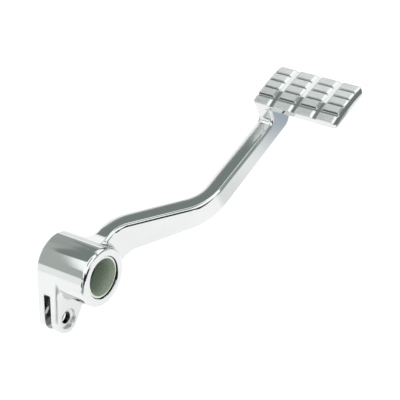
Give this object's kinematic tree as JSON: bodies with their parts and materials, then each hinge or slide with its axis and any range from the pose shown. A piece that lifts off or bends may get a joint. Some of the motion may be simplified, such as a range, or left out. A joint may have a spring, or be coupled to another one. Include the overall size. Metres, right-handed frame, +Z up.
{
  "type": "rear brake pedal",
  "caption": "Chromed right-hand rear brake pedal for a motorbike: bushed pivot hub with a rod clevis, cranked arm and a ribbed foot pad.",
  "frame": {"origin": "middle of the pivot bore, half way along the hub", "axes": "+X along the pivot, outboard; +Y forward, from the pivot towards the foot pad; +Z up, square to the foot pad's middle"},
  "size_m": [0.1317, 0.2186, 0.0695],
  "materials": {
    "chrome": "polished chrome plate",
    "bush": "matt greenish grey bearing liner on a steel back"
  },
  "bodies": {
    "root": {"pedal_casting": "chrome", "outer_bush": "bush", "inner_bush": "bush"}
  },
  "joints": []
}
